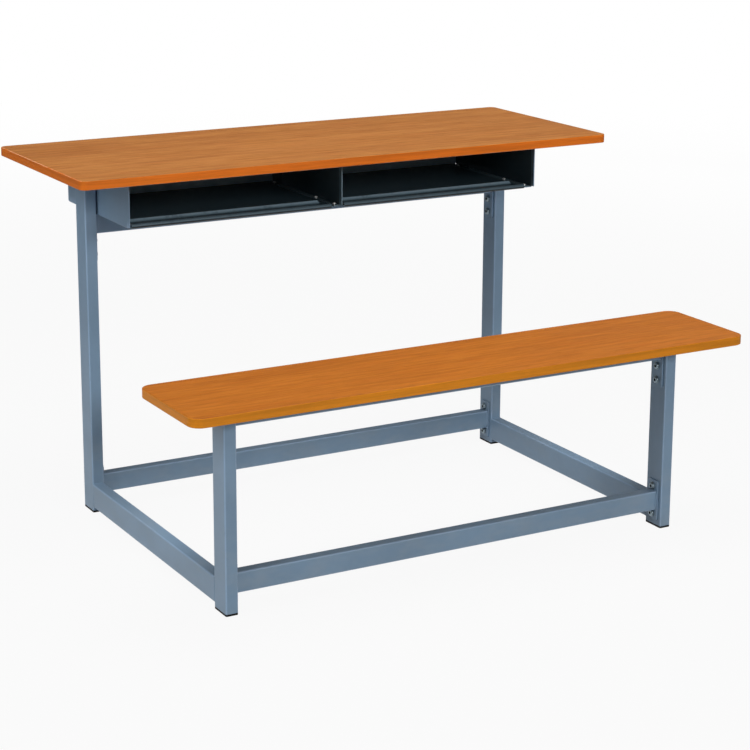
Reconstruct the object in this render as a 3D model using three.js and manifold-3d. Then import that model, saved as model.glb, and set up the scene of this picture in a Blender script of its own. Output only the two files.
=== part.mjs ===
// A school desk for two pupils, with its bench. Two welded side frames of flat steel tube
// stand on plastic feet, four bolted stretchers hold them apart, and they carry the desk
// top, the seat and an open book box of bent sheet steel with two compartments.
// Millimetres, +Z up. The origin is on the floor in the middle of the whole footprint, X
// runs along the boards, and the bench is on the -Y side.
import * as THREE from "three";
import { mergeVertices } from "three/addons/utils/BufferGeometryUtils.js";
import Module from "manifold-3d";

const wasm = await Module();
wasm.setup();

// Between two pieces that touch
const contactGap = 0.3;

// Boards: laminated panels with an edge strip glued round them
const boardLength = 1200;
const boardThickness = 18;
const deskHeight = 745;
const deskDepth = 455;
const deskCornerRadius = 25;
const benchHeight = 412;
const benchDepth = 240;
const benchCornerRadius = 25;
const seatGap = 250; // from the seat's back edge to the desk's front edge, seen from above
const edgeStripThickness = 2;
const edgeStripRounding = 1.5;
const glueLine = 0.1;

// Side frames: legs and floor rail are one flat tube, 25 by 50, welded
const boardOverhang = 100; // from a board's end to the side frame under it
const legWidth = 25;
const legDepth = 50;
const legWall = 1.5;
const tubeCornerRadius = 3;
const deskLegSetback = 242; // from the desk's front edge to the front of its leg
const benchLegSetback = 91; // from the seat's front edge to the front of its leg
const railHeight = 50;
const railLift = 11.5; // from the floor to the rail

// Plates on top of the legs, which carry the boards
const topPlateThickness = 4;
const topPlateWidth = 40;
const topPlateCornerRadius = 6;
const deskTopPlateLength = 300;
const benchTopPlateLength = 180;
const boardScrewHole = 5.5;
const boardScrewMargin = 14; // from a top plate's end to its last hole
const deskScrewPitch = 70;

// Feet: plastic caps pushed into the legs
const footHeight = 4;
const footRounding = 1;
const footPlugHeight = 13;
const footPlugWall = 2;

// Stretchers: 25 by 40 tubes with a plate welded on each end
const stretcherDepth = 25;
const stretcherHeight = 40;
const stretcherWall = 1.5;
const lowerStretcherLift = 36.5; // from the floor
const endPlateThickness = 3;
const endPlateWidth = 33;
const endPlateCornerRadius = 5;
const endPlateMargin = 13; // from the last bolt to the plate's end
const lowerBoltOffset = 29; // from the tube's centre, one bolt above it and one below
const upperBoltDrop = 15; // from the tube's underside to the first bolt
const upperBoltPitch = 29;

// Bolts: button heads with a hexagon socket and a captive washer, in nuts inside the leg
const boltDiameter = 8;
const boltLength = 15; // under the washer
const boltChamfer = 0.8;
const washerDiameter = 17;
const washerThickness = 1.6;
const headDiameter = 14;
const headHeight = 4.4;
const headCrownDiameter = 8;
const socketDiameter = 5.8; // over the corners
const socketDepth = 2.6;
const boltHoleClearance = 0.5;
const nutDiameter = 15; // over the corners
const nutThickness = 6.5;

// Book box: three bent sheets and the tray that they are riveted to
const sheet = 1.2;
const boxHeight = 101; // from the upper stretcher to the desk top
const boxSetback = 82; // from the desk's front edge to the front of the box
const boxDepth = 324;
const boxLegGap = 3.5; // from a side panel to the leg beside it
const bendRadius = 2.1; // to the middle of the sheet
const panelFlange = 20;
const dividerFlange = 14;
const rearFlange = 15;
const hemLength = 10;
const hemGap = 0.3;
const lipRadius = 4.8;
const lipOpeningAngle = 0.8;
const lipFlat = 12; // the strip of floor that is rolled with the lip
const beadSetback = 55.5;
const beadWidth = 12;
const beadRise = 6;
const leftNotch = 5; // from the wall on a compartment's left to its lip and bead
const rightNotch = 25; // and from them to the wall on its right

// Rivets
const rivetDiameter = 4;
const rivetHoleClearance = 0.3;
const rivetHeadDiameter = 8;
const rivetHeadHeight = 1.3;
const rivetTailDiameter = 6;
const rivetTailHeight = 1.8;
const rivetInset = 11; // from a wall's middle to the row of rivets
const dividerRivetInset = 7;
const rivetDepthShares = [0.07, 0.32, 0.915]; // of the box's depth, from its front

// How finely the round stretches are drawn
const boardCornerSteps = 8;
const tubeCornerSteps = 3;
const stripSteps = 3;
const bendSteps = 3;
const hemSteps = 4;
const lipSteps = 12;
const headSteps = 3;
const boltSides = 12;
const holeSides = 12;
const rivetSides = 10;
const beadSides = 16;
const beadEndSteps = 4;
const hexagon = 6;
const cutOverrun = 1;
const mergeDistance = 1e-4;

// Places worked out from the sizes
const frameWidth = boardLength - 2 * boardOverhang;
const footprintDepth = benchDepth + seatGap + deskDepth;
const benchFront = -footprintDepth / 2;
const deskFront = footprintDepth / 2 - deskDepth;
const benchLegY = benchFront + benchLegSetback + legDepth / 2;
const deskLegY = deskFront + deskLegSetback + legDepth / 2;
const legX = (frameWidth - legWidth) / 2;
const legInside = frameWidth / 2 - legWidth;
const deskUnderside = deskHeight - boardThickness;
const benchUnderside = benchHeight - boardThickness;
const legBottom = footHeight + contactGap;
const quarterTurn = Math.PI / 2;
const fullTurn = Math.PI * 2;

const upright = new THREE.Matrix4();
const alongX = new THREE.Matrix4().makeBasis(
  new THREE.Vector3(0, 1, 0),
  new THREE.Vector3(0, 0, 1),
  new THREE.Vector3(1, 0, 0),
);
const alongY = new THREE.Matrix4().makeBasis(
  new THREE.Vector3(0, 0, 1),
  new THREE.Vector3(1, 0, 0),
  new THREE.Vector3(0, 1, 0),
);

// Finishes
const finishes = {
  laminate: { color: 0xb9783f, roughness: 0.45, metalness: 0 },
  edgeStrip: { color: 0xb5611c, roughness: 0.5, metalness: 0 },
  frameCoat: { color: 0x68808f, roughness: 0.45, metalness: 0.3 },
  boxCoat: { color: 0x53656f, roughness: 0.45, metalness: 0.3 },
  zinc: { color: 0x8d979c, roughness: 0.35, metalness: 0.9 },
  rivet: { color: 0xb4babd, roughness: 0.35, metalness: 0.9 },
  footPlastic: { color: 0x15171a, roughness: 0.7, metalness: 0 },
};

const desk = new THREE.Group();

// Adds one named piece with a material of its own.
function piece(parent, name, geometry, finish) {
  const mesh = new THREE.Mesh(geometry, new THREE.MeshStandardMaterial(finishes[finish]));
  mesh.name = name;
  parent.add(mesh);
  return mesh;
}

function group(parent, x, y, z) {
  const made = new THREE.Group();
  made.position.set(x, y, z);
  parent.add(made);
  return made;
}

// A geometry as a solid that can be joined and cut.
function solid(geometry) {
  const bare = geometry.clone();
  bare.deleteAttribute("normal");
  bare.deleteAttribute("uv");
  const merged = mergeVertices(bare, mergeDistance);
  return new wasm.Manifold(
    new wasm.Mesh({
      numProp: 3,
      vertProperties: merged.attributes.position.array,
      triVerts: new Uint32Array(merged.index.array),
    }),
  );
}

// A joined or cut solid as a geometry.
function geometryOf(made) {
  const mesh = made.getMesh();
  const geometry = new THREE.BufferGeometry();
  geometry.setAttribute("position", new THREE.BufferAttribute(mesh.vertProperties, mesh.numProp));
  geometry.setIndex(new THREE.BufferAttribute(mesh.triVerts, 1));
  const faceted = geometry.toNonIndexed();
  faceted.computeVertexNormals();
  return faceted;
}

// A geometry less some others.
function cut(geometry, tools) {
  return geometryOf(tools.reduce((left, tool) => left.subtract(solid(tool)), solid(geometry)));
}

// Points of an arc round a centre.
function arc(x, y, radius, from, to, steps) {
  return Array.from({ length: steps + 1 }, (_, step) => {
    const angle = from + ((to - from) * step) / steps;
    return new THREE.Vector2(x + radius * Math.cos(angle), y + radius * Math.sin(angle));
  });
}

// A rectangle with round corners, anticlockwise round the origin.
function roundRectangle(width, depth, radius, steps) {
  return [0, 1, 2, 3].flatMap((corner) => {
    const x = (corner % 3 === 0 ? 1 : -1) * (width / 2 - radius);
    const y = (corner < 2 ? 1 : -1) * (depth / 2 - radius);
    return arc(x, y, radius, corner * quarterTurn, (corner + 1) * quarterTurn, steps);
  });
}

// A circle's points, for a hole.
function circle(x, y, radius, sides) {
  return arc(x, y, radius, 0, fullTurn, sides).slice(0, sides);
}

// A flat outline with holes, drawn along its own Z and then turned by a basis.
function extrude(outline, holes, length, basis = upright) {
  const shape = new THREE.Shape(outline);
  shape.holes = holes.map((points) => new THREE.Path(points));
  const geometry = new THREE.ExtrudeGeometry(shape, { depth: length, bevelEnabled: false, steps: 1 });
  return geometry.applyMatrix4(basis);
}

// Skin over rings of equal point counts, closed on itself or with flat ends.
function loft(rings, closed) {
  const count = rings[0].length;
  const triangles = [];
  const spans = closed ? rings.length : rings.length - 1;
  for (let ring = 0; ring < spans; ring++) {
    const below = ring * count;
    const above = ((ring + 1) % rings.length) * count;
    for (let point = 0; point < count; point++) {
      const next = (point + 1) % count;
      triangles.push(below + point, below + next, above + next);
      triangles.push(below + point, above + next, above + point);
    }
  }
  if (!closed) {
    const last = (rings.length - 1) * count;
    const flat = (ring) => ring.map((point) => new THREE.Vector2(point.x, point.y));
    for (const [a, b, c] of THREE.ShapeUtils.triangulateShape(flat(rings[0]), [])) {
      triangles.push(a, c, b);
    }
    for (const [a, b, c] of THREE.ShapeUtils.triangulateShape(flat(rings.at(-1)), [])) {
      triangles.push(last + a, last + b, last + c);
    }
  }
  const geometry = new THREE.BufferGeometry().setFromPoints(rings.flat());
  geometry.setIndex(triangles);
  const faceted = geometry.toNonIndexed();
  faceted.computeVertexNormals();
  return faceted;
}

// Rings of a round-cornered block: each level is how far in from the full outline, and how high.
function levels(width, depth, radius, steps, places) {
  return places.map(([inset, z]) =>
    roundRectangle(width - 2 * inset, depth - 2 * inset, radius - inset, steps).map(
      (point) => new THREE.Vector3(point.x, point.y, z),
    ),
  );
}

// The outline of a sheet of even thickness along a line through its middle.
function sheetOutline(line) {
  const sides = [[], []];
  line.forEach((point, index) => {
    const before = line[Math.max(index - 1, 0)];
    const after = line[Math.min(index + 1, line.length - 1)];
    const arriving = (index ? point.clone().sub(before) : after.clone().sub(point)).normalize();
    const leaving = (index < line.length - 1 ? after.clone().sub(point) : arriving.clone()).normalize();
    const across = new THREE.Vector2(-arriving.y - leaving.y, arriving.x + leaving.x).normalize();
    const reach = sheet / 2 / (across.y * arriving.x - across.x * arriving.y);
    sides[0].push(point.clone().addScaledVector(across, reach));
    sides[1].push(point.clone().addScaledVector(across, -reach));
  });
  return [...sides[0], ...sides[1].reverse()];
}

// A round rod lying along one of the axes, for holes.
function rod(diameter, length, basis, sides, x, y, z) {
  return extrude(circle(0, 0, diameter / 2, sides), [], length, basis).translate(x, y, z);
}

// Boards

function board(depth, cornerRadius) {
  const inset = edgeStripThickness + glueLine;
  const places = [[inset, 0], [inset, boardThickness]];
  return loft(levels(boardLength, depth, cornerRadius, boardCornerSteps, places), false);
}

// The strip's section is square where it is glued on and rounded outside.
function edgeStrip(depth, cornerRadius) {
  const flat = boardThickness - edgeStripRounding;
  const lower = arc(-edgeStripRounding, edgeStripRounding, edgeStripRounding, -quarterTurn, 0, stripSteps);
  const upper = arc(-edgeStripRounding, flat, edgeStripRounding, 0, quarterTurn, stripSteps);
  const rounded = [...lower, ...upper].map((point) => [-point.x, point.y]);
  const places = [[edgeStripThickness, 0], ...rounded, [edgeStripThickness, boardThickness]];
  return loft(levels(boardLength, depth, cornerRadius, boardCornerSteps, places), true);
}

function addBoard(name, depth, cornerRadius, front, underside) {
  const place = group(desk, 0, front + depth / 2, underside);
  piece(place, name, board(depth, cornerRadius), "laminate");
  piece(place, `${name}_edge_strip`, edgeStrip(depth, cornerRadius), "edgeStrip");
}

// Side frames

function tube(width, depth, wall, length, basis) {
  const outside = roundRectangle(width, depth, tubeCornerRadius, tubeCornerSteps);
  const inside = roundRectangle(
    width - 2 * wall,
    depth - 2 * wall,
    tubeCornerRadius - wall,
    tubeCornerSteps,
  );
  return extrude(outside, [inside], length, basis);
}

// A leg with its inner face towards +X, the nuts welded inside that face and their holes.
function leg(height, boltHeights) {
  const nutFace = legWidth / 2 - legWall - nutThickness;
  const nutReach = nutThickness + legWall / 2;
  const holeStart = nutFace - cutOverrun;
  const holeReach = nutThickness + legWall + 2 * cutOverrun;
  const holeDiameter = boltDiameter + 2 * boltHoleClearance;
  let made = solid(tube(legWidth, legDepth, legWall, height, upright));
  for (const z of boltHeights) {
    const nut = rod(nutDiameter, nutReach, alongX, hexagon, nutFace, 0, z);
    const hole = rod(holeDiameter, holeReach, alongX, holeSides, holeStart, 0, z);
    made = made.add(solid(nut)).subtract(solid(hole));
  }
  return geometryOf(made);
}

// A plate with its inner edge over the leg's inner face and the rest of it outside the leg.
function topPlate(length, holeYs) {
  const outline = roundRectangle(topPlateWidth, length, topPlateCornerRadius, tubeCornerSteps);
  const holes = holeYs.map((y) => circle(0, y, boardScrewHole / 2, holeSides));
  const outward = (topPlateWidth - legWidth) / 2;
  return extrude(outline, holes, topPlateThickness).translate(-outward, 0, 0);
}

// A cap: a rounded sole under the tube's end and a hollow plug inside it.
function foot() {
  const plugInset = legWall + contactGap;
  const plugTop = footHeight + footPlugHeight;
  const places = [
    [footRounding, 0],
    [0, footRounding],
    [0, footHeight],
    [plugInset, footHeight],
    [plugInset, plugTop],
    [plugInset + footPlugWall, plugTop],
    [plugInset + footPlugWall, footHeight],
  ];
  const rings = places.map(([inset, z]) => {
    const radius = Math.max(tubeCornerRadius - inset, footRounding);
    return roundRectangle(legWidth - 2 * inset, legDepth - 2 * inset, radius, tubeCornerSteps).map(
      (point) => new THREE.Vector3(point.x, point.y, z),
    );
  });
  return loft(rings, false);
}

// Bolts of a stretcher, as heights above the floor.
const lowerBolts = [-1, 1].map((way) => lowerStretcherLift + stretcherHeight / 2 + way * lowerBoltOffset);
const deskStretcherLift = deskUnderside - boxHeight - stretcherHeight;
const benchStretcherLift = benchUnderside - contactGap - stretcherHeight;
const boltsUnder = (lift) => [0, 1].map((row) => lift - upperBoltDrop - row * upperBoltPitch);
const deskBolts = boltsUnder(deskStretcherLift);
const benchBolts = boltsUnder(benchStretcherLift);

// Where the boards are screwed to the top plates, from the middle of a plate.
const deskEnd = deskTopPlateLength / 2 - boardScrewMargin;
const benchEnd = benchTopPlateLength / 2 - boardScrewMargin;

const legs = [
  {
    name: "desk",
    y: deskLegY,
    underside: deskUnderside,
    upperBolts: deskBolts,
    plateLength: deskTopPlateLength,
    screwYs: [-deskEnd, deskScrewPitch - deskEnd, deskEnd - deskScrewPitch, deskEnd],
  },
  {
    name: "bench",
    y: benchLegY,
    underside: benchUnderside,
    upperBolts: benchBolts,
    plateLength: benchTopPlateLength,
    screwYs: [-benchEnd, benchEnd],
  },
];

function addLeg(frame, side, turn, { name, y, underside, upperBolts, plateLength, screwYs }) {
  const plateBottom = underside - contactGap - topPlateThickness;
  const height = plateBottom - contactGap - legBottom;
  const bolts = [...lowerBolts, ...upperBolts].map((z) => z - legBottom);
  const tubeMesh = piece(frame, `${side}_${name}_leg`, leg(height, bolts), "frameCoat");
  tubeMesh.position.set(0, y, legBottom);
  tubeMesh.rotation.z = turn;
  const plate = topPlate(plateLength, screwYs);
  const plateMesh = piece(frame, `${side}_${name}_top_plate`, plate, "frameCoat");
  plateMesh.position.set(0, y, plateBottom);
  plateMesh.rotation.z = turn;
  piece(frame, `${side}_${name}_foot`, foot(), "footPlastic").position.set(0, y, 0);
}

function addSideFrame(side, way) {
  const frame = group(desk, way * legX, 0, 0);
  const turn = way < 0 ? 0 : Math.PI;
  for (const place of legs) {
    addLeg(frame, side, turn, place);
  }
  const railStart = benchLegY + legDepth / 2 + contactGap;
  const railEnd = deskLegY - legDepth / 2 - contactGap;
  const railTube = tube(railHeight, legWidth, legWall, railEnd - railStart, alongY);
  const rail = piece(frame, `${side}_floor_rail`, railTube, "frameCoat");
  rail.position.set(0, railStart, railLift + railHeight / 2);
}

// Stretchers

const plateFace = legInside - contactGap; // where an end plate meets the leg
const stretcherEnd = plateFace - endPlateThickness - contactGap;

// A plate across the end of a stretcher, from one height to another, with its bolt holes.
function endPlate(bottom, top, boltHeights) {
  const height = top - bottom;
  const outline = roundRectangle(endPlateWidth, height, endPlateCornerRadius, tubeCornerSteps);
  const radius = boltDiameter / 2 + boltHoleClearance;
  const holes = boltHeights.map((z) => circle(0, z - bottom - height / 2, radius, holeSides));
  return extrude(outline, holes, endPlateThickness, alongX).translate(0, 0, bottom + height / 2);
}

// A button-headed bolt along X, with the underside of its washer at the origin and its head
// towards +X.
function bolt() {
  const shank = boltDiameter / 2;
  const crown = headCrownDiameter / 2;
  const dome = Array.from({ length: headSteps + 1 }, (_, step) => {
    const angle = (step / headSteps) * quarterTurn;
    const radius = crown + (headDiameter / 2 - crown) * Math.cos(angle);
    return new THREE.Vector2(radius, washerThickness + headHeight * Math.sin(angle));
  });
  const profile = [
    new THREE.Vector2(0, -boltLength),
    new THREE.Vector2(shank - boltChamfer, -boltLength),
    new THREE.Vector2(shank, boltChamfer - boltLength),
    new THREE.Vector2(shank, 0),
    new THREE.Vector2(washerDiameter / 2, 0),
    new THREE.Vector2(washerDiameter / 2, washerThickness),
    ...dome,
    new THREE.Vector2(0, washerThickness + headHeight),
  ];
  const body = new THREE.LatheGeometry(profile, boltSides).rotateZ(-quarterTurn);
  const socketFloor = washerThickness + headHeight - socketDepth;
  const socket = rod(socketDiameter, socketDepth + cutOverrun, alongX, hexagon, socketFloor, 0, 0);
  return cut(body, [socket]);
}

function addStretcher(name, y, lift, plateBottom, plateTop, boltHeights) {
  const place = group(desk, 0, y, 0);
  const bar = tube(stretcherDepth, stretcherHeight, stretcherWall, 2 * stretcherEnd, alongX);
  const barMesh = piece(place, `${name}_stretcher`, bar, "frameCoat");
  barMesh.position.set(-stretcherEnd, 0, lift + stretcherHeight / 2);
  for (const [side, way] of [["left", -1], ["right", 1]]) {
    const plate = piece(
      place,
      `${name}_${side}_end_plate`,
      endPlate(plateBottom, plateTop, boltHeights),
      "frameCoat",
    );
    plate.position.x = way < 0 ? -plateFace : plateFace - endPlateThickness;
    boltHeights.forEach((z, index) => {
      const boltMesh = piece(place, `${name}_${side}_bolt_${index + 1}`, bolt(), "zinc");
      boltMesh.position.set(way * (plateFace - endPlateThickness - contactGap), 0, z);
      boltMesh.rotation.z = way < 0 ? 0 : Math.PI;
    });
  }
}

function addLowerStretcher(name, y) {
  const [low, high] = lowerBolts;
  addStretcher(name, y, lowerStretcherLift, low - endPlateMargin, high + endPlateMargin, lowerBolts);
}

function addUpperStretcher(name, y, lift, boltHeights) {
  const bottom = boltHeights.at(-1) - endPlateMargin;
  addStretcher(name, y, lift, bottom, lift + stretcherHeight, boltHeights);
}

// Book box: its own frame has Y from the front backwards and Z from its underside up.

const boxTop = boxHeight - 2 * contactGap;
const panelX = legInside - boxLegGap - sheet / 2; // the middle of a side panel
const floorZ = sheet + contactGap + sheet / 2; // the middle of the tray's floor
const floorTop = floorZ + sheet / 2;
const floorBottom = floorZ - sheet / 2;
const rearY = boxDepth - sheet / 2; // the middle of the rear wall
const trayEnd = panelX - bendRadius - contactGap;
const lipBend = lipRadius - sheet / 2; // the lip's radius to the middle of the sheet
const lipRoot = lipRadius + lipBend + sheet; // where the floor bends up into the lip
const rivetGrip = 2 * sheet + 3 * contactGap;
const rivetYs = rivetDepthShares.map((share) => share * boxDepth);

const at = (x, y) => new THREE.Vector2(x, y);

function rivetHoles(x) {
  const diameter = rivetDiameter + 2 * rivetHoleClearance;
  const length = floorTop + 2 * cutOverrun + 2 * sheet;
  return rivetYs.map((y) => rod(diameter, length, upright, rivetSides, x, y, -cutOverrun));
}

// The tray's floor, rear wall and rear flange are one bent sheet.
function trayBody() {
  const top = boxTop - sheet / 2;
  const line = [
    at(lipRoot, floorZ),
    ...arc(rearY - bendRadius, floorZ + bendRadius, bendRadius, -quarterTurn, 0, bendSteps),
    ...arc(rearY + bendRadius, top - bendRadius, bendRadius, Math.PI, quarterTurn, bendSteps),
    at(rearY + rearFlange, top),
  ];
  return solid(extrude(sheetOutline(line), [], 2 * trayEnd, alongX).translate(-trayEnd, 0, 0));
}

// The rolled lip in front of one compartment, with the strip of floor that it is bent from.
function lip(fromX, toX) {
  const start = Math.asin(sheet / lipBend);
  const line = [
    at(lipRoot + lipFlat, floorZ),
    at(lipRoot, floorZ),
    ...arc(lipRadius, floorZ, lipBend, start, fullTurn - lipOpeningAngle, lipSteps),
  ];
  return solid(extrude(sheetOutline(line), [], toX - fromX, alongX).translate(fromX, 0, 0));
}

// A rod with round ends along X, squashed to half axes across and up.
function roundedRod(fromX, toX, halfWidth, height) {
  const length = toX - fromX - 2 * halfWidth;
  const geometry = new THREE.CapsuleGeometry(halfWidth, length, beadEndSteps, beadSides);
  geometry.rotateZ(quarterTurn).scale(1, 1, height / halfWidth);
  return geometry.translate((fromX + toX) / 2, beadSetback, floorBottom);
}

// A bead pressed up in the floor of one compartment, hollow underneath.
function pressBead(tray, fromX, toX) {
  const height = beadRise + sheet;
  const above = new THREE.BoxGeometry(toX - fromX, beadWidth, height + cutOverrun);
  above.translate((fromX + toX) / 2, beadSetback, floorBottom + (height + cutOverrun) / 2);
  const crest = solid(roundedRod(fromX, toX, beadWidth / 2, height)).intersect(solid(above));
  const hollow = roundedRod(fromX + sheet, toX - sheet, beadWidth / 2 - sheet, height - sheet);
  return tray.add(crest).subtract(solid(hollow));
}

// Where the lip and bead of each compartment start and end.
const compartments = [
  [leftNotch - panelX, -rightNotch],
  [leftNotch, panelX - rightNotch],
];

function tray() {
  let made = trayBody();
  for (const [fromX, toX] of compartments) {
    made = made.add(lip(fromX, toX));
    made = pressBead(made, fromX, toX);
  }
  for (const x of [rivetInset - panelX, -dividerRivetInset, panelX - rivetInset]) {
    for (const hole of rivetHoles(x)) {
      made = made.subtract(solid(hole));
    }
  }
  return geometryOf(made);
}

// An upright wall with a hem folded back along its front edge, on the side that way gives.
function hemmedWall(x, way, endY, bottom, top) {
  const fold = (sheet + hemGap) / 2;
  const nose = fold + sheet / 2;
  const line = [
    at(x, endY),
    ...arc(x + way * fold, nose, fold, way < 0 ? 0 : -Math.PI, way < 0 ? -Math.PI : 0, hemSteps),
    at(x + 2 * way * fold, hemLength),
  ];
  return solid(extrude(sheetOutline(line), [], top - bottom).translate(0, 0, bottom));
}

// A channel section: a web with flanges turned the same way at its foot and its head.
function channel(x, way, flange, bottom, top, fromY, toY) {
  const foot = bottom + sheet / 2;
  const head = top - sheet / 2;
  const corner = (z, from, to) =>
    arc(0, z, bendRadius, from, to, bendSteps).map((point) =>
      at(point.y, x + way * (bendRadius - point.x)),
    );
  const line = [
    at(foot, x + way * flange),
    ...corner(foot + bendRadius, -quarterTurn, 0),
    ...corner(head - bendRadius, 0, quarterTurn),
    at(head, x + way * flange),
  ];
  return solid(extrude(sheetOutline(line), [], toY - fromY, alongY).translate(0, fromY, 0));
}

// A bent sheet wall, riveted through its lower flange.
function wall(x, way, flange, inset, bottom, endY) {
  const flangeEnd = boxDepth - sheet - bendRadius - contactGap;
  const flanged = channel(x, way, flange, bottom, boxTop, hemLength, flangeEnd);
  const web = hemmedWall(x, way, endY, bottom + bendRadius, boxTop - bendRadius);
  let made = flanged.add(web);
  for (const hole of rivetHoles(x + way * inset)) {
    made = made.subtract(solid(hole));
  }
  return geometryOf(made);
}

// A blind rivet along Z, with the underside of its head at the origin.
function rivet() {
  const shank = rivetDiameter / 2;
  const head = rivetHeadDiameter / 2;
  const tail = rivetTailDiameter / 2;
  const dome = arc(0, 0, 1, 0, quarterTurn, headSteps).map((point) =>
    at(point.x * head, point.y * rivetHeadHeight),
  );
  const bulb = arc(0, 0, 1, -quarterTurn, 0, headSteps).map((point) =>
    at(point.x * tail, point.y * rivetTailHeight - rivetGrip),
  );
  dome.at(-1).x = 0;
  bulb[0].x = 0;
  const profile = [...bulb, at(shank, -rivetGrip), at(shank, 0), ...dome];
  return new THREE.LatheGeometry(profile, rivetSides).rotateX(quarterTurn);
}

function addBookBox() {
  const box = group(desk, 0, deskFront + boxSetback, deskUnderside - boxHeight + contactGap);
  piece(box, "book_box_tray", tray(), "boxCoat");
  const left = wall(-panelX, 1, panelFlange, rivetInset, 0, boxDepth);
  const right = wall(panelX, -1, panelFlange, rivetInset, 0, boxDepth);
  const dividerBottom = floorTop + contactGap;
  const dividerEnd = boxDepth - sheet - bendRadius - contactGap;
  const divider = wall(0, -1, dividerFlange, dividerRivetInset, dividerBottom, dividerEnd);
  piece(box, "book_box_left_panel", left, "boxCoat");
  piece(box, "book_box_right_panel", right, "boxCoat");
  piece(box, "book_box_divider", divider, "boxCoat");
  const rows = [
    ["left", rivetInset - panelX, floorTop + contactGap],
    ["divider", -dividerRivetInset, dividerBottom + sheet + contactGap],
    ["right", panelX - rivetInset, floorTop + contactGap],
  ];
  for (const [row, x, z] of rows) {
    rivetYs.forEach((y, index) => {
      piece(box, `${row}_rivet_${index + 1}`, rivet(), "rivet").position.set(x, y, z);
    });
  }
}

addBoard("desk_top", deskDepth, deskCornerRadius, deskFront, deskUnderside);
addBoard("bench_seat", benchDepth, benchCornerRadius, benchFront, benchUnderside);
addSideFrame("left", -1);
addSideFrame("right", 1);
addLowerStretcher("lower_desk", deskLegY);
addLowerStretcher("lower_bench", benchLegY);
addUpperStretcher("upper_desk", deskLegY, deskStretcherLift, deskBolts);
addUpperStretcher("upper_bench", benchLegY, benchStretcherLift, benchBolts);
addBookBox();

export default desk;
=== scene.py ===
"""A school desk for two pupils with its bench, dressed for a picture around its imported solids."""

import functools
import math

import bpy
import numpy as np
from mathutils import Matrix, Vector


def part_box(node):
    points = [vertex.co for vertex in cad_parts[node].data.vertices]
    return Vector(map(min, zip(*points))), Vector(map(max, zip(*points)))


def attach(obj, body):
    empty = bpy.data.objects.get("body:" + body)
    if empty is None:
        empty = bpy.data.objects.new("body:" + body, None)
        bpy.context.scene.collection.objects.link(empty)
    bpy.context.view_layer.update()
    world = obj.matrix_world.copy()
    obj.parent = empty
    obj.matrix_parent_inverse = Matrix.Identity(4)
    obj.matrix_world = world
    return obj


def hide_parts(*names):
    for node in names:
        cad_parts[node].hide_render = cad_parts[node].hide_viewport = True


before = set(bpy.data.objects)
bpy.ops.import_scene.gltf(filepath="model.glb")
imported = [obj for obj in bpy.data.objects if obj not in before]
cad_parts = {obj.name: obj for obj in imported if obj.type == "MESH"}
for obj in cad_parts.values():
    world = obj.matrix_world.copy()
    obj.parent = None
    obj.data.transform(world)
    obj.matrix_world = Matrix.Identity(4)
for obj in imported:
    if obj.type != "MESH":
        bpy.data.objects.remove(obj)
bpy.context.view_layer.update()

bl_info = {
    "name": "Double School Desk",
    "version": (1, 0, 0),
    "blender": (4, 5, 0),
    "location": "View3D > Sidebar > School Desk",
    "description": "Builds the visible pieces of a double school desk with its bench",
    "category": "Object",
}

MM = 0.001
SIDES = (("left", 1), ("right", -1))  # the side, and the way its inner face looks along X
PLACES = ("desk", "bench")
STRETCHERS = ("lower_desk", "lower_bench", "upper_desk", "upper_bench")
TOP_PLATE_CORNER = 6 * MM
GLUE = 0.1 * MM  # between a board and the strip round it
COAT = 0.3 * MM  # between two pieces of steel that lie on each other
CURVE_STEPS = 24  # steps in each corner of a board
WELD_STEP = 1.0 * MM  # from one ring of a weld to the next
WELD_SIDES = 10  # corners of each ring of a weld


def paint(red, green, blue):
    """A colour as a screen shows it, from 0 to 255, in the even steps of light that shaders use."""
    shown = np.array([red, green, blue]) / 255
    even = np.where(shown <= 0.04045, shown / 12.92, ((shown + 0.055) / 1.055) ** 2.4)
    return tuple(even.tolist())


# Properties


def size(name, description, default):
    return bpy.props.FloatProperty(
        name=name, description=description, default=default * MM, unit="LENGTH", subtype="DISTANCE"
    )


def colour(name, description, default):
    limits = {"size": 3, "min": 0, "max": 1, "subtype": "COLOR"}
    return bpy.props.FloatVectorProperty(
        name=name, description=description, default=paint(*default), **limits
    )


def power(name, description, default):
    return bpy.props.FloatProperty(
        name=name, description=description, default=default, unit="POWER"
    )


class SchoolDeskSizes(bpy.types.PropertyGroup):
    """Sizes of the visible detail"""

    desk_corner: size("Desk corners", "Radius of the desk top's corners, seen from above", 14)
    seat_corner: size("Seat corners", "Radius of the seat's corners, seen from above", 25)
    strip_thickness: size("Edge strip", "Thickness of the strip glued round each board", 2)
    strip_rounding: size("Strip rounding", "Radius of the edge strip's outer edges", 1.6)
    tube_corner: size("Tube corners", "Outer radius of the corners of the steel tubes", 3)
    tube_wall: size("Tube wall", "Wall thickness of the steel tubes", 1.5)
    plate_corner: size("End plate corners", "Radius of the corners of the bolted end plates", 5)
    plate_rounding: size("Plate edges", "Radius of the painted edges of plates", 0.6)
    weld: size("Weld bead", "Radius of the weld beads", 2.6)
    sheet: size("Sheet", "Thickness of the book box's sheet steel", 1.2)
    bend: size("Bend radius", "Radius of the sheet's bends, to the middle of the sheet", 2.1)
    lip: size("Lip", "Radius of the rolled front lip, outside", 4.8)
    bead_width: size("Bead width", "Width of the bead pressed in the box's floor", 13)
    bead_rise: size("Bead rise", "Height of the bead pressed in the box's floor", 6)
    bead_setback: size("Bead setback", "From the box's front to the middle of the bead", 55.5)


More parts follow.
